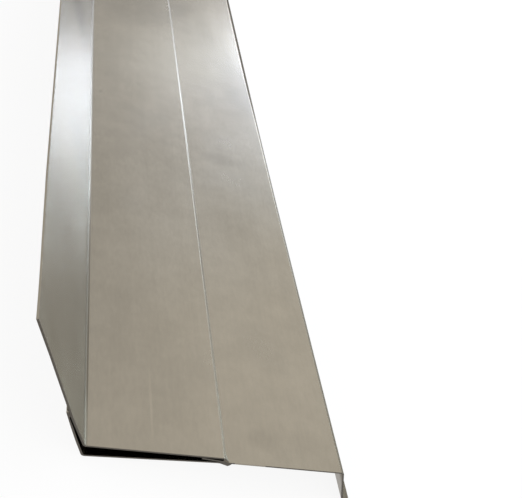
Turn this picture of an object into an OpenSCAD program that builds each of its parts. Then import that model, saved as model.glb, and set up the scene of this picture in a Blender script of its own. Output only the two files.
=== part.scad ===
// Window head flashing: two folded sheet pieces nested together.
// Section runs in X and Z, stock length along Y, resting on a level floor.

/* [Stock] */
// Length of both pieces
length = 1200; // [600:100:3600]
// Sheet thickness
sheet_t = 0.9; // [0.6:0.1:1.2]
// Inside radius of the long folds
bend_r = 1.2; // [0.8:0.1:2]
// Clearance left where the two pieces rest on each other
seat = 0.04; // [0.02:0.01:0.1]

/* [Front piece] */
// Base width from rear fold to front fold, outside
base_w = 120; // [105:0.5:150]
// Slight crease of the base just in front of the hem
crease_deg = 3.4; // [1:0.1:5]
// Inside radius of the crease
crease_r = 3; // [2:0.5:6]
// Distance from the hem to the crease
crease_gap = 1; // [0.5:0.5:4]
// Short upstand height along its slope, outside
short_up_h = 32; // [24:0.5:40]
// Hem folded inward along the rim of the short upstand
rim_hem_w = 4.5; // [3:0.5:7]
// Inside radius of the rim hem
rim_r = 0.15; // [0.1:0.05:0.4]
// Front downturn width, outside
downturn_w = 22.8; // [18:0.2:36]
// Angle between base and downturn
downturn_deg = 114; // [105:0.5:130]
// Drip kick width
kick_w = 8; // [5:0.5:12]
// Outward turn of the drip kick from the downturn
kick_deg = 27.5; // [15:0.5:40]

/* [Rear piece] */
// Tall upstand height along its slope, inside
tall_up_h = 78.5; // [60:0.5:100]
// Angle between tall upstand and rear base
tall_up_deg = 115; // [111:0.5:122]
// Rear base width from fold to the round of the hem
rear_base_w = 61.8; // [50:0.1:75]
// Width of the leaf folded back under the rear base
hem_w = 11; // [8:0.5:14]
// Clear height inside the round of the hem
hem_bore = 1.3; // [1:0.1:2]
// Clear height left at the tip of the hem leaf
hem_tip_gap = 0.3; // [0.2:0.1:0.6]
// Angle at which the rear base stands over the front base
nest_deg = 3.5; // [2:0.1:5]

/* [Hidden] */
bend_step_deg = 7.5;
metal_front = [0.70, 0.68, 0.64];
metal_rear = [0.74, 0.72, 0.68];

// Bend angles and setbacks, all from the stated sizes
tall_turn = 180 - tall_up_deg;
short_turn = tall_turn + nest_deg;
front_turn = 180 - downturn_deg;
hem_r = hem_bore / 2;
hem_out = hem_r + sheet_t;
hem_over = 2 * atan((hem_r - hem_tip_gap / 2) / (hem_w - hem_out));
tall_in = bend_r * tan(tall_turn / 2);
short_out = (bend_r + sheet_t) * tan(short_turn / 2);
front_out = (bend_r + sheet_t) * tan(front_turn / 2);
kick_in = bend_r * tan(kick_deg / 2);
rim_out = rim_r + sheet_t;

// Legs of each strip, [flat, turn, inside radius], a turn above 0 folds upward
rear_flat = rear_base_w - tall_in - hem_out;
rear_legs = [
    [tall_up_h - tall_in, tall_turn, bend_r],
    [rear_flat, -(180 + hem_over), hem_r],
    [hem_w - hem_out, 0, 0]
];
short_flat = short_up_h - short_out - rim_out;

// Seating: round of the hem on the front base, tall upstand on the rim hem
fold_c = [0, sheet_t + bend_r];
rear_y = sheet_t + hem_out + seat + hem_r * cos(nest_deg) + rear_flat * sin(nest_deg);
short_dir = 180 - short_turn;
tall_dir = 180 - tall_turn - nest_deg;
rim_c = fold_c + (bend_r - rim_r) * [-sin(short_dir), cos(short_dir)]
    + short_flat * [cos(short_dir), sin(short_dir)];
tall_off = bend_r + sheet_t + seat + rim_out;
back_n = [-sin(tall_dir), cos(tall_dir)];
rear_cy = rear_y + fold_c[1] * cos(nest_deg);
rear_cx = (rim_c * back_n - tall_off - rear_cy * back_n[1]) / back_n[0];
rear_x = rear_cx - fold_c[1] * sin(nest_deg);

crease_x = rear_x + rear_flat * cos(nest_deg) + hem_out + crease_gap;
front_legs = [
    [rim_hem_w - rim_out, 180, rim_r],
    [short_flat, short_turn, bend_r],
    [crease_x, -crease_deg, crease_r],
    [base_w - short_out - crease_x - front_out, -front_turn, bend_r],
    [downturn_w - front_out - kick_in, kick_deg, bend_r],
    [kick_w - kick_in, 0, 0]
];

// Floor pose: rear fold and the edge of the drip kick on the ground
base_start = walk(front_legs, 2);
kick_end = walk(front_legs, 6);
kick_v = turned([kick_end[0] - base_start[0], kick_end[1] - base_start[1]], -base_start[2]) - fold_c;
floor_turn = -asin((bend_r + sheet_t) / norm(kick_v)) - atan2(kick_v[1], kick_v[0]);
ground = turned(fold_c, floor_turn)[1] - bend_r - sheet_t;
rear_start = walk(rear_legs, 1);
tall_rim = turned([rear_x, rear_y] + turned([-rear_start[0], -rear_start[1]], -rear_start[2] - nest_deg), floor_turn);
kick_dir = kick_end[2] - base_start[2] + floor_turn;
kick_x = turned(kick_v + fold_c, floor_turn)[0] + max(0, -sheet_t * sin(kick_dir));
mid_x = (tall_rim[0] + kick_x) / 2;

function turned(p, a) = [p[0] * cos(a) - p[1] * sin(a), p[0] * sin(a) + p[1] * cos(a)];

// Point and heading after one leg, as [x, y, heading], on the bottom face
function step(p, leg) = let (
    h = p[2], g = h + leg[1], rc = centre_off(leg),
    q = [p[0], p[1]] + leg[0] * [cos(h), sin(h)],
    e = q + rc * [-sin(h), cos(h)] - rc * [-sin(g), cos(g)]
) [e[0], e[1], g];
function walk(legs, n) = n == 0 ? [0, 0, 0] : step(walk(legs, n - 1), legs[n - 1]);

// Bend centre above the bottom face, below it for a bend that folds downward
function centre_off(leg) = leg[1] == 0 ? 0 : leg[1] < 0 ? -leg[2] : leg[2] + sheet_t;

// Points of one face of the strip, off above its bottom face
function face(legs, off, i = 0, p = [0, 0, 0]) = i == len(legs) ? [] : let (
    leg = legs[i], h = p[2], rc = centre_off(leg), k = max(1, ceil(abs(leg[1]) / bend_step_deg)),
    c = [p[0], p[1]] + leg[0] * [cos(h), sin(h)] + rc * [-sin(h), cos(h)],
    pts = [for (j = [0:leg[1] == 0 ? 0 : k]) let (g = h + leg[1] * j / k) c - (rc - off) * [-sin(g), cos(g)]]
) concat(pts, face(legs, off, i + 1, step(p, leg)));

function reversed(v) = [for (i = [len(v) - 1:-1:0]) v[i]];

// Folded strip, laid with the end of its leg number n at the origin, heading along X
module folded(legs, n) {
    w = walk(legs, n);
    rotate(-w[2]) translate([-w[0], -w[1]])
        polygon(concat([[0, 0]], face(legs, 0), reversed(face(legs, sheet_t)), [[0, sheet_t]]));
}

// Lays a section in the floor pose and runs it along the stock
module along_stock() {
    translate([-mid_x, length / 2, -ground]) rotate([90, 0, 0]) linear_extrude(height = length)
        rotate(floor_turn) children();
}

module front_flashing() {
    color(metal_front) along_stock() folded(front_legs, 2);
}

module rear_flashing() {
    color(metal_rear) along_stock() translate([rear_x, rear_y]) rotate(-nest_deg) folded(rear_legs, 1);
}

front_flashing();
rear_flashing();
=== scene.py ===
"""Window head flashing: two folded aluminium sheets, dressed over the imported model."""

import logging
import math
from dataclasses import dataclass
from enum import Enum

import bmesh
import bpy
from mathutils import Matrix, Vector


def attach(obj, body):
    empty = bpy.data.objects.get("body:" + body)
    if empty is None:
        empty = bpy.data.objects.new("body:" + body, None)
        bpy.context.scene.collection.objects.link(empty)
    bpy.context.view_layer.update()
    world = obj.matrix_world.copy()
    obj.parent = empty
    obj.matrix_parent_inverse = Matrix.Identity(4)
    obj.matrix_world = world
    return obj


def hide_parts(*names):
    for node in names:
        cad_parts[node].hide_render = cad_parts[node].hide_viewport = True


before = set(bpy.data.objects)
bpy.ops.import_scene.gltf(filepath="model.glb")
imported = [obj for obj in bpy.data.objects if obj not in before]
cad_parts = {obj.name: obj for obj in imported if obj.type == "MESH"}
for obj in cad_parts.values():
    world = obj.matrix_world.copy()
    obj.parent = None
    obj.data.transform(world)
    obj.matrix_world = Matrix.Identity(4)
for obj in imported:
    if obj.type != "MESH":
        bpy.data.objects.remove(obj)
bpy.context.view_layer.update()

MM = 0.001
WHITE = (1.0, 1.0, 1.0, 1.0)

# Largest turn of one facet of a fold in degrees, and width of the strip kept flat beside it in mm
FACET_TURN = 6.0
FOLD_MARGIN = 0.25

# The UV map and the vertex attributes that the finishes read
GRAIN_MAP = "grain"
# fold attribute: rougher metal on each fold, and a painted highlight along it
FOLD_WEAR_AND_HIGHLIGHT = "fold_wear_highlight"
# painted shade attribute: mixes in a dark colour and raises the roughness
PAINTED_SHADE_DULL = "painted_shade_dull"
# painted highlight attribute: a bright line beside the front fold
PAINTED_HIGHLIGHT = "painted_highlight"

# Sockets of a Mix node that mixes colours
MIX_A, MIX_B, MIX_RESULT = 6, 7, 2

Pair = tuple[float, float]
Triple = tuple[float, float, float]
Colour = tuple[float, float, float, float]

log = logging.getLogger("head_flashing")


def ease(v: float, a: float, b: float) -> float:
    """Smooth step of v from 0 at a to 1 at b."""
    t = min(1.0, max(0.0, (v - a) / (b - a)))
    return t * t * (3 - 2 * t)


def fade(v: float, a: float, b: float) -> float:
    """Smooth step of v from 1 at a to 0 at b."""
    return 1 - ease(v, a, b)


def scaled(colour: Triple, k: float) -> Colour:
    """A colour times k, with an alpha of 1."""
    return (colour[0] * k, colour[1] * k, colour[2] * k, 1.0)


class Fold(Enum):
    """Which way a press turns the next leg of a sheet."""

    UP = 1
    DOWN = -1
    NONE = 0


@dataclass(frozen=True)
class Leg:
    """One flat leg of a folded sheet and the fold that follows it, in mm and degrees."""

    flat: float
    fold: Fold = Fold.NONE
    turn: float = 0.0
    radius: float = 0.0
    marks: tuple[float, ...] = ()

    def runs(self) -> list[float]:
        """Lengths of the flat's strips, with a narrow one beside each fold to keep it crisp."""
        margin = min(FOLD_MARGIN, self.flat / 4)
        at = sorted({0.0, margin, *self.marks, self.flat - margin, self.flat})
        return [b - a for a, b in zip(at, at[1:])]


class NodeTree:
    """Small helper that adds and links shader nodes of one material."""

    def __init__(self, name: str) -> None:
        """Makes an empty node material of that name."""
        self.material = bpy.data.materials.new(name)
        self.material.use_nodes = True
        self.tree = self.material.node_tree
        self.tree.nodes.clear()

    def add(self, kind: str, **inputs: object) -> bpy.types.Node:
        """Adds one node.

        Args:
            kind: the node's type without the ShaderNode prefix.
            inputs: attribute or socket values, sockets with spaces as underscores.

        Returns:
            The new node.
        """
        node = self.tree.nodes.new("ShaderNode" + kind)
        for key, value in inputs.items():
            socket = node.inputs.get(key.replace("_", " "))
            if socket is not None and not hasattr(node, key):
                socket.default_value = value
            else:
                setattr(node, key, value)
        return node

    def link(self, a: bpy.types.Node, out: str | int, b: bpy.types.Node, into: str | int) -> None:
        """Joins output out of node a to input into of node b."""
        self.tree.links.new(a.outputs[out], b.inputs[into])

    def noise(self, place: bpy.types.Node, stretch: Triple, scale: float,
              detail: float) -> bpy.types.Node:
        """A noise texture on Object coordinates, stretched by a Mapping node."""
        turn = self.add("Mapping")
        turn.inputs["Scale"].default_value = stretch
        self.link(place, "Object", turn, "Vector")
        made = self.add("TexNoise", Scale=scale, Detail=detail, Roughness=0.55)
        self.link(turn, "Vector", made, "Vector")
        return made

    def spread(self, node: bpy.types.Node, out: str, a: float, b: float, low: float = 0.25,
               high: float = 0.75) -> bpy.types.Node:
        """Maps an output smoothly from low..high to a..b."""
        made = self.add("MapRange", interpolation_type="SMOOTHSTEP", clamp=True)
        for key, value in (("From Min", low), ("From Max", high), ("To Min", a), ("To Max", b)):
            made.inputs[key].default_value = value
        self.link(node, out, made, "Value")
        return made

    def painted(self, attribute: str, a: float, b: float) -> bpy.types.Node:
        """Maps a vertex attribute smoothly from 0..1 to a..b."""
        return self.spread(self.add("Attribute", attribute_name=attribute), "Fac", a, b, 0.0, 1.0)

    def chain(self, nodes: list[bpy.types.Node], operation: str) -> bpy.types.Node:
        """Joins the first outputs of the nodes by one math operation after another."""
        last = nodes[0]
        for node in nodes[1:]:
            made = self.add("Math", operation=operation)
            self.link(last, 0, made, 0)
            self.link(node, 0, made, 1)
            last = made
        return last

    def ramp(self, node: bpy.types.Node, out: str,
             stops: list[tuple[float, Colour]]) -> bpy.types.Node:
        """A colour ramp over an output, with two stops."""
        made = self.add("ValToRGB")
        for element, (position, colour) in zip(made.color_ramp.elements, stops):
            element.position, element.color = position, colour
        self.link(node, out, made, "Fac")
        return made


@dataclass(frozen=True)
class Pattern:
    """One noise pattern of the metal, and how it moves the tone and the roughness."""

    stretch: Triple
    scale: float
    detail: float
    tone: Pair
    rough: Pair | None = None
    low: float = 0.25
    high: float = 0.75


GRAIN = Pattern((1.0, 0.35, 1.0), 620.0, 1.0, (0.98, 1.02), (-0.005, 0.005))
SMUDGE = Pattern((1.0, 0.8, 1.0), 24.0, 1.0, (1.0, 0.96), (0.0, 0.02), low=0.5)
CLOUD = Pattern((1.0, 0.45, 1.0), 16.0, 2.0, (0.955, 1.045), (-0.02, 0.02))
MOTTLE = Pattern((0.8, 1.0, 0.8), 85.0, 2.0, (0.97, 1.03), (-0.004, 0.004))
STREAK = Pattern((1.0, 0.02, 1.0), 260.0, 2.0, (0.985, 1.015))


@dataclass(frozen=True)
class Blot:
    """One soft mark on a sheet: a place, its half sizes in mm and how much it tones the metal."""

    at: Triple
    half: Triple
    factor: float
    core: float = 0.3

    def tone(self, n: NodeTree, place: bpy.types.Node) -> bpy.types.Node:
        """Tone factor of the mark.

        Args:
            n: the node tree.
            place: its texture coordinates.

        Returns:
            A node whose first output is the factor inside the mark and 1 away from it.
        """
        local = n.add("Mapping")
        local.inputs["Scale"].default_value = [1 / (h * MM) for h in self.half]
        local.inputs["Location"].default_value = [-c / h for c, h in zip(self.at, self.half)]
        n.link(place, "Object", local, "Vector")
        far = n.add("VectorMath", operation="LENGTH")
        n.link(local, "Vector", far, 0)
        return n.spread(far, "Value", self.factor, 1.0, low=self.core, high=1.0)


REAR_MARKS_AND_SHEEN = (
    # a lighter streak and a spot beside the rear fold, and a pale scratch at the near end
    Blot((-48.9, -233.0, 10.3), (0.55, 9.0, 0.8), 1.35),
    Blot((-40.9, -332.4, 8.3), (1.6, 3.0, 2.0), 0.9),
    Blot((-18.6, -574.0, 11.9), (0.9, 26.0, 0.9), 1.09),
    # a darker warm cloud far along the base, partly a stain and partly painted shade over the sheen
    Blot((-15.0, -196.0, 12.5), (60.0, 45.0, 20.0), 0.88),
    # painted sheen across the tall upstand: two lighter bands of painted highlight and a darker one
    # of painted shade
    Blot((-72.3, -475.0, 44.5), (40.0, 52.0, 40.0), 1.18),
    Blot((-73.0, -352.0, 46.0), (42.0, 36.0, 42.0), 1.06),
    Blot((-74.0, -301.0, 47.0), (42.0, 34.0, 42.0), 0.8),
)
FRONT_MARKS_AND_SHEEN = (
    # a dark speck, and dull smears across the middle and at the near end
    Blot((24.0, -236.5, 15.8), (0.8, 1.2, 1.5), 0.78),
    Blot((40.0, -375.0, 18.5), (24.0, 10.0, 8.0), 0.92),
    Blot((54.0, -585.0, 20.8), (11.0, 9.0, 5.0), 0.95),
    Blot((34.0, -586.0, 17.5), (12.0, 9.0, 4.0), 0.91),
    # broad lighter and darker clouds along the panel: painted highlight and painted shade of the
    # sheen
    Blot((63.0, -500.0, 22.2), (26.0, 110.0, 12.0), 1.05),
    Blot((22.0, -168.0, 15.5), (22.0, 34.0, 8.0), 0.88),
    Blot((60.0, -180.0, 21.7), (22.0, 54.0, 8.0), 1.12),
    Blot((61.0, -276.0, 22.0), (24.0, 50.0, 9.0), 0.89),
)


@dataclass(frozen=True)
class SheetFinish:
    """Mill-finished aluminium sheet with its rolled grain and handling marks, and with painted
    highlights and painted shade.
    """

    name: str
    blots_and_sheen: tuple[Blot, ...]
    leaf_edge: float | None = None
    base: Triple = (0.285, 0.2546, 0.2043)
    # painted shade: the dark colour mixed in where the painted shade attribute is set
    shade_colour: Triple = (0.10, 0.072, 0.040)
    roughness: float = 0.24
    anisotropy: float = 0.75
    # painted highlight along each fold, as a tone factor
    fold_highlight_tone: float = 1.1
    # painted highlight beside the front fold, as a tone factor
    highlight_tone: float = 1.5
    # painted lighter sheen on the base over the hem's leaf, where its tilt changes
    leaf_sheen_tone: float = 1.015
    fold_rough: float = 0.16
    dulled_rough: float = 0.36
    swell: float = 0.00025

    def material(self) -> bpy.types.Material:
        """Builds the sheet's material.

        Returns:
            The node material.
        """
        n = NodeTree(self.name)
        shader = n.add("BsdfPrincipled", Metallic=1.0, Anisotropic=self.anisotropy)
        n.link(n.add("Tangent", direction_type="UV_MAP", uv_map=GRAIN_MAP), 0, shader, "Tangent")
        place = n.add("TexCoord")
        tones, roughs = self.marks(n, place), []
        for pattern in (GRAIN, SMUDGE, CLOUD, MOTTLE, STREAK):
            noise = n.noise(place, pattern.stretch, pattern.scale, pattern.detail)
            tones.append(n.spread(noise, "Fac", *pattern.tone, pattern.low, pattern.high))
            if pattern.rough is not None:
                # the first pattern carries the sheet's own roughness
                a, b = (v + (0.0 if roughs else self.roughness) for v in pattern.rough)
                roughs.append(n.spread(noise, "Fac", a, b, pattern.low, pattern.high))
        roughs.append(n.painted(FOLD_WEAR_AND_HIGHLIGHT, 0.0, self.fold_rough))
        roughs.append(n.painted(PAINTED_SHADE_DULL, 0.0, self.dulled_rough))
        n.link(self.colour(n, n.chain(tones, "MULTIPLY")), MIX_RESULT, shader, "Base Color")
        n.link(n.chain(roughs, "ADD"), 0, shader, "Roughness")
        swell = n.noise(place, (1.0, 0.5, 1.0), 9.0, 1.0)
        bump = n.add("Bump", Strength=1.0, Distance=1.0)
        n.link(n.spread(swell, "Fac", 0.0, self.swell, 0.0, 1.0), 0, bump, "Height")
        n.link(bump, "Normal", shader, "Normal")
        n.link(shader, "BSDF", n.add("OutputMaterial"), "Surface")
        return n.material

    def colour(self, n: NodeTree, tone: bpy.types.Node) -> bpy.types.Node:
        """The metal's colour times its tone, mixed towards a dark painted shade colour where the
        painted shade attribute is set.

        Args:
            n: the node tree.
            tone: a node whose first output is the tone factor.

        Returns:
            The Mix node that gives the colour.
        """
        clean = n.add("Mix", data_type="RGBA", blend_type="MULTIPLY")
        clean.inputs["Factor"].default_value = 1.0
        clean.inputs[MIX_A].default_value = scaled(self.base, 1.0)
        n.link(tone, 0, clean, MIX_B)
        with_shade = n.add("Mix", data_type="RGBA", blend_type="MIX")
        with_shade.inputs[MIX_B].default_value = scaled(self.shade_colour, 1.0)
        # painted shade: the dark colour is mixed in by the painted shade attribute
        n.link(n.add("Attribute", attribute_name=PAINTED_SHADE_DULL), "Fac", with_shade, "Factor")
        n.link(clean, MIX_RESULT, with_shade, MIX_A)
        return with_shade

    def marks(self, n: NodeTree, place: bpy.types.Node) -> list[bpy.types.Node]:
        """Tone factors of the sheet's own marks and painted light: painted highlights on the folds
        and beside the front fold, blots of stain and of painted sheen and shade, and a painted
        lighter sheen over the hem's leaf.

        Args:
            n: the node tree.
            place: its texture coordinates.

        Returns:
            Nodes whose first output is a factor about 1.
        """
        # painted highlights: along every fold, and beside the front fold
        made = [n.painted(FOLD_WEAR_AND_HIGHLIGHT, 1.0, self.fold_highlight_tone),
                n.painted(PAINTED_HIGHLIGHT, 1.0, self.highlight_tone)]
        if self.leaf_edge is not None:
            # painted lighter sheen on the rear base past the edge of the hem's leaf underneath
            split = n.add("SeparateXYZ")
            n.link(place, "Object", split, "Vector")
            low, high = (self.leaf_edge - 0.6) * MM, (self.leaf_edge + 0.8) * MM
            made.append(n.spread(split, "X", 1.0, self.leaf_sheen_tone, low, high))
        made.extend(blot.tone(n, place) for blot in self.blots_and_sheen)
        return made


@dataclass(frozen=True)
class ShadedShearedEdge:
    """The raw end of a sheet where the shears went through: torn and matt, and darkened with
    painted shade.
    """

    name: str = "sheared_edge_shaded"
    # painted shade: the ends get a far darker colour than the sheet
    base: Triple = (0.12, 0.107, 0.09)
    roughness: Pair = (0.4, 0.62)

    def material(self) -> bpy.types.Material:
        """Builds the edge's material."""
        n = NodeTree(self.name)
        shader = n.add("BsdfPrincipled", Metallic=1.0)
        torn = n.add("TexNoise", Scale=900.0, Detail=3.0)
        n.link(n.add("TexCoord"), "Object", torn, "Vector")
        tone = n.ramp(torn, "Fac", [(0.3, scaled(self.base, 0.7)), (0.75, scaled(self.base, 1.35))])
        n.link(tone, "Color", shader, "Base Color")
        n.link(n.spread(torn, "Fac", *self.roughness), 0, shader, "Roughness")
        bump = n.add("Bump", Strength=0.6, Distance=0.00006)
        n.link(torn, "Fac", bump, "Height")
        n.link(bump, "Normal", shader, "Normal")
        n.link(shader, "BSDF", n.add("OutputMaterial"), "Surface")
        return n.material


@dataclass(frozen=True)
class Lie:
    """How the long thin stock lies loose: slightly bowed sideways towards its near end, mm."""

    front_bow: float = -1.75
    hem_bow: float = 0.7
    near: float = -600.0
    middle: float = -330.0
    far: float = 50.0

    def bow(self, y: float) -> float:
        """Share of the bow at a place along the stock."""
        if not self.near < y < self.far:
            return 0.0
        if y < self.middle:
            return math.sin(math.pi / 2 * (y - self.near) / (self.middle - self.near))
        return 0.5 + 0.5 * math.cos(math.pi * (y - self.middle) / (self.far - self.middle))

    def shift(self, x: float, y: float) -> float:
        """Sideways shift of a point."""
        hem = ease(x, -42.0, 4.0) * fade(x, 18.0, 40.0)
        return self.bow(y) * (self.front_bow * ease(x, 24.0, 71.0) + self.hem_bow * hem)


@dataclass(frozen=True)
class UpstandFrame:
    """Section frame on the tall upstand's outer face: down its slope and off its face, mm."""

    x: float = -69.944
    z: float = 39.584
    heading: float = math.radians(-55.7865)

    @property
    def off(self) -> Vector:
        """Unit vector off the outer face, towards the open side."""
        return Vector((-math.sin(self.heading), 0, math.cos(self.heading)))

    @property
    def down(self) -> Vector:
        """Unit vector down the slope of the outer face."""
        return Vector((math.cos(self.heading), 0, math.sin(self.heading)))

    def place(self, co: Vector) -> Pair:
        """Distances of a point down the slope and off the face."""
        out = Vector((co.x / MM - self.x, 0, co.z / MM - self.z))
        return out.dot(self.down), out.dot(self.off)

    @staticmethod
    def near_end(along: float) -> float:
        """Weight of a bend of the near end, fading out along the stock."""
        return fade(along, 10.0, 80.0)

    @staticmethod
    def lean(down: float) -> float:
        """How far the near end of the tall upstand is pushed off its plane."""
        rim, waist = fade(down, -30, -2), ease(down, -2, 14) * fade(down, 18, 38)
        return 0.6 * rim - 0.44 * waist


@dataclass(frozen=True)
class Panel:
    """Upper face of the front sheet's base in the section, in mm: two slopes from the crease."""

    crease: Pair = (15.75, 14.43)
    rear_slope: float = 0.2256
    front_slope: float = 0.164

    def top(self, x: float) -> float:
        """Height of the upper face at a place across it."""
        slope = self.rear_slope if x < self.crease[0] else self.front_slope
        return self.crease[1] + (x - self.crease[0]) * slope


LIE = Lie()
UPSTAND = UpstandFrame()
PANEL = Panel()


@dataclass
class FoldedSheet:
    """A folded sheet laid out leg by leg as on a folding machine, in mm and degrees.

    The start is the first corner of the bottom face in X and Z, and the heading is the
    direction of the first leg in the section.
    """

    name: str
    legs: list[Leg]
    start: Pair
    heading: float
    length: float
    thick: float
    end_facing: float = 0.7
    fold_angles: Pair = (0.02, 0.5)

    def profile(self, bm: bmesh.types.BMesh) -> None:
        """Draws the bottom face's line in the section: flats by extrusion, folds by spin."""
        y = -self.length / 2
        vert = bm.verts.new(Vector((self.start[0], y, self.start[1])) * MM)
        heading = math.radians(self.heading)
        for leg in self.legs:
            ahead = Vector((math.cos(heading), 0, math.sin(heading)))
            for run in leg.runs():
                made = bmesh.ops.extrude_vert_indiv(bm, verts=[vert])
                vert = made["verts"][0]
                bmesh.ops.translate(bm, verts=[vert], vec=ahead * run * MM)
            if leg.fold is Fold.NONE:
                continue
            up = Vector((-math.sin(heading), 0, math.cos(heading)))
            reach = (leg.radius + self.thick) if leg.fold is Fold.UP else -leg.radius
            turn = math.radians(leg.turn) * leg.fold.value
            steps = max(2, math.ceil(leg.turn / FACET_TURN))
            spun = bmesh.ops.spin(
                bm, geom=[vert], cent=vert.co + up * reach * MM, axis=(0, -1, 0), angle=turn,
                steps=steps, use_duplicate=False)
            vert = spun["geom_last"][0]
            heading += turn

    def mesh(self, stations: list[float]) -> bpy.types.Object:
        """Runs the profile along the stock, gives it its thickness and makes the object.

        Args:
            stations: places along Y, mm from the near end, where the sheet is cut into rows.

        Returns:
            The object, at the origin.
        """
        bm = bmesh.new()
        self.profile(bm)
        bmesh.ops.remove_doubles(bm, verts=bm.verts, dist=1e-7)
        run = bmesh.ops.extrude_edge_only(bm, edges=bm.edges[:])
        far = [g for g in run["geom"] if isinstance(g, bmesh.types.BMVert)]
        bmesh.ops.translate(bm, verts=far, vec=(0, self.length * MM, 0))
        for s in stations:
            bmesh.ops.bisect_plane(
                bm, geom=bm.verts[:] + bm.edges[:] + bm.faces[:],
                plane_co=(0, (s - self.length / 2) * MM, 0), plane_no=(0, 1, 0))
        bmesh.ops.recalc_face_normals(bm, faces=bm.faces[:])
        self.solid(bm)
        self.bruise(bm)
        for vert in bm.verts:
            vert.co.x += LIE.shift(vert.co.x / MM, vert.co.y / MM) * MM
        self.grain_map(bm)
        self.wear(bm)
        mesh = bpy.data.meshes.new(self.name)
        bm.to_mesh(mesh)
        bm.free()
        obj = bpy.data.objects.new(self.name, mesh)
        bpy.context.scene.collection.objects.link(obj)
        return obj

    def solid(self, bm: bmesh.types.BMesh) -> None:
        """Gives the bottom face's sheet its thickness, upwards in the section."""
        widest = max(bm.faces, key=lambda face: face.calc_area())
        # the widest flat shows which way the sheet faces: its normal has to point up
        if widest.normal.z < 0:
            bmesh.ops.reverse_faces(bm, faces=bm.faces[:])
        bmesh.ops.solidify(bm, geom=bm.faces[:], thickness=-self.thick * MM)
        bmesh.ops.recalc_face_normals(bm, faces=bm.faces[:])

    def grain_map(self, bm: bmesh.types.BMesh) -> None:
        """Lays a UV map with U across the rolling grain and V along the stock, in metres."""
        layer = bm.loops.layers.uv.new(GRAIN_MAP)
        for face in bm.faces:
            across = face.normal.cross(Vector((0, 1, 0)))
            if across.length < 0.5:
                across = Vector((1, 0, 0))
            across.normalize()
            for loop in face.loops:
                loop[layer].uv = (loop.vert.co.dot(across), loop.vert.co.y)

    def wear(self, bm: bmesh.types.BMesh) -> None:
        """Marks the sheared ends, each point on a fold, and how much painted shade and painted
        highlight each point gets.
        """
        fold = bm.verts.layers.float.new(FOLD_WEAR_AND_HIGHLIGHT)
        shade_dull_layer = bm.verts.layers.float.new(PAINTED_SHADE_DULL)
        painted_highlight = bm.verts.layers.float.new(PAINTED_HIGHLIGHT)
        least, most = self.fold_angles
        for face in bm.faces:
            face.material_index = 1 if self.sheared(face) else 0
        # each point on a fold gets rougher metal and a painted highlight
        for edge in bm.edges:
            if len(edge.link_faces) == 2 and least < edge.calc_face_angle(0.0) < most:
                for vert in edge.verts:
                    vert[fold] = 1.0
        for vert in bm.verts:
            vert[shade_dull_layer] = self.painted_shade_dull(vert)
            vert[painted_highlight] = self.painted_highlight(vert)

    def along(self, vert: bmesh.types.BMVert) -> float:
        """Distance of a point from the near end."""
        return vert.co.y / MM + self.length / 2

    def bruise(self, bm: bmesh.types.BMesh) -> None:
        """Presses the marks of handling into the near end. A plain sheet has none."""

    def sheared(self, face: bmesh.types.BMFace) -> bool:
        """True where a face is a raw sheared end."""
        return abs(face.normal.y) > self.end_facing

    def painted_shade_dull(self, vert: bmesh.types.BMVert) -> float:
        """How much painted shade, with matt roughness, a point gets, 0 to 1. A plain sheet gets
        none.
        """
        return 0.0

    def painted_highlight(self, vert: bmesh.types.BMVert) -> float:
        """How much painted highlight a point gets, 0 to 1. A plain sheet gets none."""
        return 0.0


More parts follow.
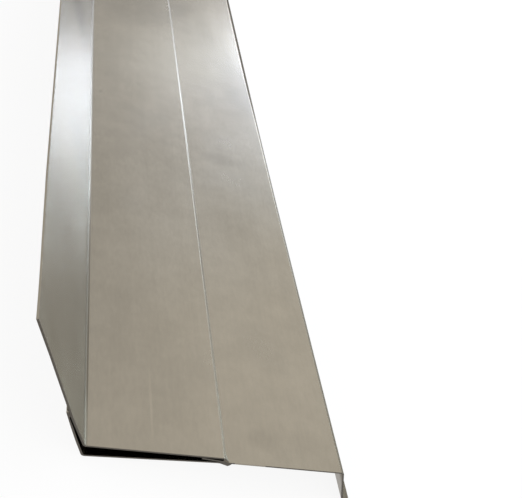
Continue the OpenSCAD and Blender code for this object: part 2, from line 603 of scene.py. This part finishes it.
@dataclass
class RearSheet(FoldedSheet):
    """The rear sheet, whose upstand leans and whose hem is crushed at the near end."""

    # the hem's round in the section, and where its outer skin starts and ends
    hem_centre: Pair = (12.805, 15.43)
    hem_outer: float = 1.55
    skin_start: float = 99.2
    skin_turn: float = 186.0
    skin_slack: float = 0.06
    # the crushed end of the hem: its top, foot and underside, and how far it reaches along
    hem_top: Pair = (12.557, 16.96)
    foot: Pair = (16.3, 14.8)
    hem_low: Pair = (12.9, 13.93)
    bulge: float = 0.45
    squeeze: float = 3.5
    # how far the rim slides down its slope as it leans, so that it comes no higher
    rim_slide: float = 0.7
    # the corner under the upstand, which gets painted shade
    corner: Pair = (-47.4, -46.0)

    def bruise(self, bm: bmesh.types.BMesh) -> None:
        """Leans the near end of the upstand, then crushes the end of the hem."""
        self.lean(bm)
        self.crush(bm)

    def lean(self, bm: bmesh.types.BMesh) -> None:
        """Pushes the near end of the tall upstand off its plane."""
        for vert in bm.verts:
            down, off = UPSTAND.place(vert.co)
            if -0.2 < off < 1.1 and down < 38:
                lean = UPSTAND.lean(down)
                move = UPSTAND.off * lean + UPSTAND.down * max(0.0, lean) * self.rim_slide
                vert.co += move * UPSTAND.near_end(self.along(vert)) * MM

    def crush(self, bm: bmesh.types.BMesh) -> None:
        """Squeezes the last few millimetres of the hem out over the front sheet."""
        for vert in bm.verts:
            share, along = self.on_hem_skin(vert), self.along(vert)
            if share is None or share <= 0 or along > self.squeeze:
                continue
            weight = fade(along, 0.4, self.squeeze)
            if share < 0.5:
                t = share / 0.5
                x = self.hem_top[0] + (self.foot[0] - self.hem_top[0]) * t
                z = self.hem_top[1] + (self.foot[1] - self.hem_top[1]) * t
                z += self.bulge * math.sin(math.pi * t)
            else:
                t = (share - 0.5) / 0.5
                x = self.foot[0] + (self.hem_low[0] - self.foot[0]) * t
                z = PANEL.top(x) + 0.05
            vert.co.x += (x * MM - vert.co.x) * weight
            vert.co.z += (z * MM - vert.co.z) * weight

    def on_hem_skin(self, vert: bmesh.types.BMVert) -> float | None:
        """Share of the way round the hem's outer skin, 0 at the top, or None off it."""
        x, z = vert.co.x / MM - self.hem_centre[0], vert.co.z / MM - self.hem_centre[1]
        if abs(math.hypot(x, z) - self.hem_outer) > self.skin_slack:
            return None
        turn = (self.skin_start - math.degrees(math.atan2(z, x))) % 360
        return turn / self.skin_turn if turn <= self.skin_turn else None

    def painted_shade_dull(self, vert: bmesh.types.BMVert) -> float:
        """Painted shade in the corner under the tall upstand, and painted shade with matt roughness
        over the hem's round, which tones down its highlight.
        """
        x, y = vert.co.x / MM, vert.co.y / MM
        x -= LIE.shift(x, y)
        if x < 0:
            low, high = self.corner
            # painted shade in the crease under the tall upstand, stronger over a stretch towards
            # the near end
            corner_shade = 0.43 + 0.27 * fade(y, -500.0, -410.0) * ease(y, -598.0, -560.0)
            return corner_shade * ease(x, low, low + 0.2) * fade(x, high - 0.2, high)
        # painted shade over the hem's round, toning down its highlight; the same value makes it
        # rougher
        hem_shade = 0.3 + 0.4 * fade(y, -450.0, -300.0) - 0.09 * fade(y, -530.0, -480.0)
        hem_shade -= 0.11 * fade(y, -570.0, -520.0)
        return hem_shade * ease(x, self.hem_centre[0] - 0.2, self.hem_centre[0] + 0.4)

    def sheared(self, face: bmesh.types.BMFace) -> bool:
        """The crushed foot of the hem is smooth metal, not a sheared end."""
        x = face.calc_center_median().x / MM
        return super().sheared(face) and x < self.hem_centre[0] + 1.8


@dataclass
class FrontSheet(FoldedSheet):
    """The front sheet, with a burr under its near end and painted shade on its drip edge."""

    # the burr: where it hangs, how far it reaches to each side and how deep
    burr_at: float = 17.5
    burr_left: float = 5.0
    burr_right: float = 0.55
    burr_deep: float = 2.1
    underside: float = 0.93
    # where the front fold starts, and where the painted shade on the drip kick's face starts and
    # ends
    fold_at: float = 70.95
    kick: Pair = (84.0, 85.2)
    # the stretch along the stock in which the painted shade band of the front fold widens
    band: Pair = (-340.0, -230.0)

    def bruise(self, bm: bmesh.types.BMesh) -> None:
        """Draws the burr down from the underside of the near end, then presses the rim."""
        for vert in bm.verts:
            x, z = vert.co.x / MM, vert.co.z / MM
            reach = self.burr_left if x < self.burr_at else self.burr_right
            side = 1 - abs(x - self.burr_at) / reach
            if side <= 0 or abs(z - PANEL.top(x) + self.underside) > 0.3:
                continue
            vert.co.z -= self.burr_deep * side * fade(self.along(vert), 0.1, 1.4) * MM
        self.press_rim(bm)

    def press_rim(self, bm: bmesh.types.BMesh) -> None:
        """Presses the rim hem flat against the tall upstand at the near end."""
        for vert in bm.verts:
            down, off = UPSTAND.place(vert.co)
            if not (14.0 < down < 38.0 and -2.4 < off < 0.2):
                continue
            hem = fade(down, 19.0, 24.0)
            move = hem * (-0.44 - 0.42 * off) + (1 - hem) * 0.45 * fade(down, 18.0, 38.0)
            move -= 0.24 * off * fade(down, 14.6, 17.5)
            vert.co += UPSTAND.off * move * UPSTAND.near_end(self.along(vert)) * MM

    def sheared(self, face: bmesh.types.BMFace) -> bool:
        """The pressed rim hem and the end beside the hem's foot are smooth, not sheared."""
        middle = face.calc_center_median()
        down, off = UPSTAND.place(middle)
        smooth = (down < 17.0 and off < 0) or 19.0 < middle.x / MM < 33.0
        return super().sheared(face) and not smooth

    def painted_shade_dull(self, vert: bmesh.types.BMVert) -> float:
        """Painted shade, with matt roughness, on the outer turn of the front fold, the downturn's
        back and the drip kick.
        """
        x, z = vert.co.x / MM, vert.co.z / MM
        if x < 65:
            return 0.0
        at, edge = self.past_fold(vert), self.shade_edge(vert)
        # painted shade over the outer turn of the front fold
        turn = ease(at, edge - 0.1, edge + 0.45) if z > (23.0 if at < 0.1 else 21.0) else 0.0
        turn *= 0.64 + 0.36 * ease(vert.co.y / MM, *self.band)
        # painted shade on the downturn's back face
        back = 0.22 if vert.normal.x < -0.5 and z < 22 else 0.0
        # painted shade on the drip kick
        return max(turn, back, 0.95 * ease(at + self.fold_at, *self.kick))

    def painted_highlight(self, vert: bmesh.types.BMVert) -> float:
        """A painted highlight line runs beside the painted shade band, brighter away from the near
        end.
        """
        at = self.past_fold(vert) - self.shade_edge(vert)
        # painted highlight on the flat just before the front fold
        line = ease(at, -0.95, -0.35) * fade(at, 0.02, 0.3)
        away = 0.08 + 0.92 * ease(vert.co.y / MM, -460.0, -320.0)
        return line * away * (1 if vert.normal.z > 0.9 else 0)

    def past_fold(self, vert: bmesh.types.BMVert) -> float:
        """Distance across the sheet past the start of the front fold, mm."""
        x, y = vert.co.x / MM, vert.co.y / MM
        return x - LIE.shift(x, y) - self.fold_at

    def shade_edge(self, vert: bmesh.types.BMVert) -> float:
        """Where the painted shade band of the front fold begins: wider away from the near end."""
        return -0.95 * ease(vert.co.y / MM, *self.band)


@dataclass(frozen=True)
class FlashingSizes:
    """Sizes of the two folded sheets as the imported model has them, in mm and degrees."""

    length: float = 1200.0
    thick: float = 0.9
    bend: float = 1.2
    floor_turn: float = 12.7135
    # rear sheet
    rear_start: Pair = (-91.7998, 71.7225)
    tall_up: float = 78.5
    tall_turn: float = 65.0
    rear_base: float = 61.8
    hem: float = 11.0
    hem_radius: float = 0.65
    hem_tip: float = 0.3
    nest: float = 3.5
    # front sheet
    front_start: Pair = (-59.1674, 23.6587)
    rim_hem: float = 4.5
    rim_radius: float = 0.15
    short_up: float = 32.0
    base: float = 120.0
    crease_at: float = 61.4311
    crease_turn: float = 3.4
    crease_radius: float = 3.0
    front_turn: float = 66.0
    downturn: float = 22.8
    kick: float = 8.0
    kick_turn: float = 27.5
    # rows along the stock: close together at the near end, then one every row_step
    near_rows: tuple[float, ...] = (0.7, 1.4, 2.2, 3.2, 4.5, 6.0, 8.0, 12.0, 20.0, 30.0)
    row_step: float = 40.0

    @property
    def stations(self) -> list[float]:
        """Places of the rows, from the near end."""
        rows = round(self.length / self.row_step)
        return [*self.near_rows, *(self.row_step * k for k in range(1, rows))]


def setback(radius: float, turn: float) -> float:
    """Length that a fold takes off the flats at its two sides."""
    return radius * math.tan(math.radians(turn / 2))


@dataclass(frozen=True)
class HeadFlashing:
    """The whole flashing: rear sheet nested in front sheet."""

    sizes: FlashingSizes = FlashingSizes()
    smooth_below: float = 30.0

    def rear(self) -> bpy.types.Object:
        """The rear sheet: tall upstand, rear base and the hem under it."""
        s = self.sizes
        hem_out = s.hem_radius + s.thick
        tall_in = setback(s.bend, s.tall_turn)
        drop = math.atan((s.hem_radius - s.hem_tip / 2) / (s.hem - hem_out))
        legs = [
            Leg(s.tall_up - tall_in, Fold.UP, s.tall_turn, s.bend, marks=(20.0, 40.0, 60.0)),
            Leg(s.rear_base - tall_in - hem_out, Fold.DOWN, 180 + math.degrees(2 * drop),
                s.hem_radius, marks=(15.0, 30.0, 42.0, 50.0, 54.0, 57.0)),
            Leg(s.hem - hem_out),
        ]
        heading = -s.tall_turn - s.nest + s.floor_turn
        sheet = RearSheet("rear_sheet", legs, s.rear_start, heading, s.length, s.thick)
        return sheet.mesh(s.stations)

    def front(self) -> bpy.types.Object:
        """The front sheet: hemmed short upstand, creased base, downturn and drip kick."""
        s = self.sizes
        rim_out = s.rim_radius + s.thick
        short_turn = s.tall_turn + s.nest
        short_out = setback(s.bend + s.thick, short_turn)
        front_out = setback(s.bend + s.thick, s.front_turn)
        kick_in = setback(s.bend, s.kick_turn)
        legs = [
            Leg(s.rim_hem - rim_out, Fold.UP, 180, s.rim_radius),
            Leg(s.short_up - short_out - rim_out, Fold.UP, short_turn, s.bend,
                marks=(10.0, 20.0)),
            Leg(s.crease_at, Fold.DOWN, s.crease_turn, s.crease_radius,
                marks=(15.0, 30.0, 45.0, 54.0, 56.0, 57.2, 58.4, 59.6, 60.6)),
            Leg(s.base - short_out - s.crease_at - front_out, Fold.DOWN, s.front_turn, s.bend,
                marks=(1.0, 1.7, 2.2, 3.4, 8.0, 18.0, 28.0, 38.0, 48.0, 53.2, 53.8, 54.4, 54.95)),
            Leg(s.downturn - front_out - kick_in, Fold.UP, s.kick_turn, s.bend, marks=(10.0,)),
            Leg(s.kick - kick_in),
        ]
        heading = -short_turn - 180 + s.floor_turn
        sheet = FrontSheet("front_sheet", legs, s.front_start, heading, s.length, s.thick)
        return sheet.mesh(s.stations)

    def build(self) -> None:
        """Makes both sheets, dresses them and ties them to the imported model."""
        edge = ShadedShearedEdge().material()
        rear = SheetFinish("rear_aluminium", REAR_MARKS_AND_SHEEN, leaf_edge=3.8)
        front = SheetFinish("front_aluminium", FRONT_MARKS_AND_SHEEN)
        for make, node, slot, finish in ((self.rear, "rear_flashing", "rear_sheet", rear),
                                         (self.front, "front_flashing", "front_sheet", front)):
            obj = make()
            obj.data.materials.append(finish.material())
            obj.data.materials.append(edge)
            for poly in obj.data.polygons:
                poly.use_smooth = True
            obj.data.set_sharp_from_angle(angle=math.radians(self.smooth_below))
            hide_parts(node)
            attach(obj, "root")
            self.report(obj)

    @staticmethod
    def report(obj: bpy.types.Object) -> None:
        """Logs a piece's faces and its lowest and highest corner in mm."""
        spans = list(zip(*(vert.co / MM for vert in obj.data.vertices)))
        low, high = [round(min(v), 2) for v in spans], [round(max(v), 2) for v in spans]
        log.info("%s: %d faces, %s to %s", obj.name, len(obj.data.polygons), low, high)


@dataclass(frozen=True)
class Lamp:
    """One soft area lamp, placed round the aim.

    Azimuth is in degrees from +Y towards +X, elevation in degrees above the floor, the
    distance and the size in metres, and the power in watts.
    """

    name: str
    azimuth: float
    elevation: float
    size: Pair
    power: float
    colour: Triple
    distance: float = 3.0


LAMPS = (
    Lamp("window", 23.0, 23.0, (0.6, 0.12), 9.4, (0.65, 0.755, 1.0)),
    Lamp("window_side", 36.0, 15.0, (0.6, 0.26), 36.0, (0.645, 0.8, 1.0)),
    Lamp("doorway", 60.0, 12.0, (0.8, 0.5), 24.4, (0.62, 0.84, 1.0)),
    Lamp("skylight", 11.0, 27.3, (0.5, 0.16), 0.5, (0.8, 0.9, 1.0)),
    Lamp("overhead", 38.0, 52.0, (1.8, 1.4), 2.3, (1.0, 0.96, 0.86)),
)


@dataclass(frozen=True)
class Studio:
    """Floor, world, lamps and camera, in metres."""

    camera_at: Triple = (-0.15379, -0.78999, 0.27367)
    look: Triple = (0.44177, 0.7165, -0.53987)
    up: Triple = (-0.28851, 0.68327, 0.67075)
    sensor: float = 36.0
    # focal length over the photograph's width, both in its pixels
    zoom: float = 806.2177 / 522
    aim: Triple = (0.0, -0.4, 0.02)
    floor_size: float = 8.0
    floor_paint: Colour = (0.93, 0.93, 0.93, 1.0)
    floor_white: float = 0.9

    def build(self) -> None:
        """Sets the whole studio up."""
        self.floor()
        self.world()
        for lamp in LAMPS:
            self.hang(lamp)
        self.camera()

    def floor(self) -> None:
        """Lays the pale floor, which the camera and the metal see as nearly white."""
        bm = bmesh.new()
        bmesh.ops.create_grid(bm, x_segments=1, y_segments=1, size=self.floor_size / 2)
        mesh = bpy.data.meshes.new("floor")
        bm.to_mesh(mesh)
        bm.free()
        floor = bpy.data.objects.new("floor", mesh)
        bpy.context.scene.collection.objects.link(floor)
        n = NodeTree("floor_paint")
        shader = n.add("BsdfPrincipled", Roughness=0.9)
        shader.inputs["Base Color"].default_value = self.floor_paint
        glow = n.add("Emission", Strength=1.0)
        glow.inputs["Color"].default_value = WHITE
        path = n.add("LightPath")
        seen = n.add("Math", operation="ADD", use_clamp=True)
        n.link(path, "Is Camera Ray", seen, 0)
        n.link(path, "Is Glossy Ray", seen, 1)
        share = n.add("Math", operation="MULTIPLY")
        share.inputs[1].default_value = self.floor_white
        n.link(seen, 0, share, 0)
        mix = n.add("MixShader")
        n.link(share, 0, mix, 0)
        n.link(shader, "BSDF", mix, 1)
        n.link(glow, "Emission", mix, 2)
        n.link(mix, "Shader", n.add("OutputMaterial"), "Surface")
        mesh.materials.append(n.material)

    def world(self) -> None:
        """Plain white world."""
        world = bpy.data.worlds.new("studio")
        bpy.context.scene.world = world
        world.use_nodes = True
        tree = world.node_tree
        tree.nodes.clear()
        sky = tree.nodes.new("ShaderNodeBackground")
        sky.inputs["Strength"].default_value = 1.0
        sky.inputs["Color"].default_value = WHITE
        out = tree.nodes.new("ShaderNodeOutputWorld")
        tree.links.new(sky.outputs[0], out.inputs["Surface"])

    def hang(self, lamp: Lamp) -> None:
        """Hangs one lamp so that it faces the aim."""
        data = bpy.data.lights.new(lamp.name, "AREA")
        data.shape = "RECTANGLE"
        data.size, data.size_y = lamp.size
        data.energy = lamp.power
        data.color = lamp.colour
        light = bpy.data.objects.new(lamp.name, data)
        bpy.context.scene.collection.objects.link(light)
        a, e = math.radians(lamp.azimuth), math.radians(lamp.elevation)
        out = Vector((math.sin(a) * math.cos(e), math.cos(a) * math.cos(e), math.sin(e)))
        light.location = Vector(self.aim) + out * lamp.distance
        light.rotation_mode = "QUATERNION"
        light.rotation_quaternion = out.to_track_quat("Z", "Y")

    def camera(self) -> None:
        """Places the camera at the photograph's viewing angle."""
        data = bpy.data.cameras.new("camera")
        data.sensor_width = self.sensor
        data.lens = self.sensor * self.zoom
        data.clip_start = 0.01
        cam = bpy.data.objects.new("camera", data)
        bpy.context.scene.collection.objects.link(cam)
        back = -Vector(self.look).normalized()
        right = Vector(self.up).cross(back).normalized()
        turn = Matrix((right, back.cross(right), back)).transposed().to_4x4()
        cam.matrix_world = Matrix.Translation(self.camera_at) @ turn
        bpy.context.scene.camera = cam


def main() -> None:
    """Builds the flashing and the studio."""
    logging.basicConfig(level=logging.INFO, format="%(name)s: %(message)s")
    bpy.context.scene.view_settings.view_transform = "Standard"
    HeadFlashing().build()
    Studio().build()


if __name__ == "__main__":
    main()
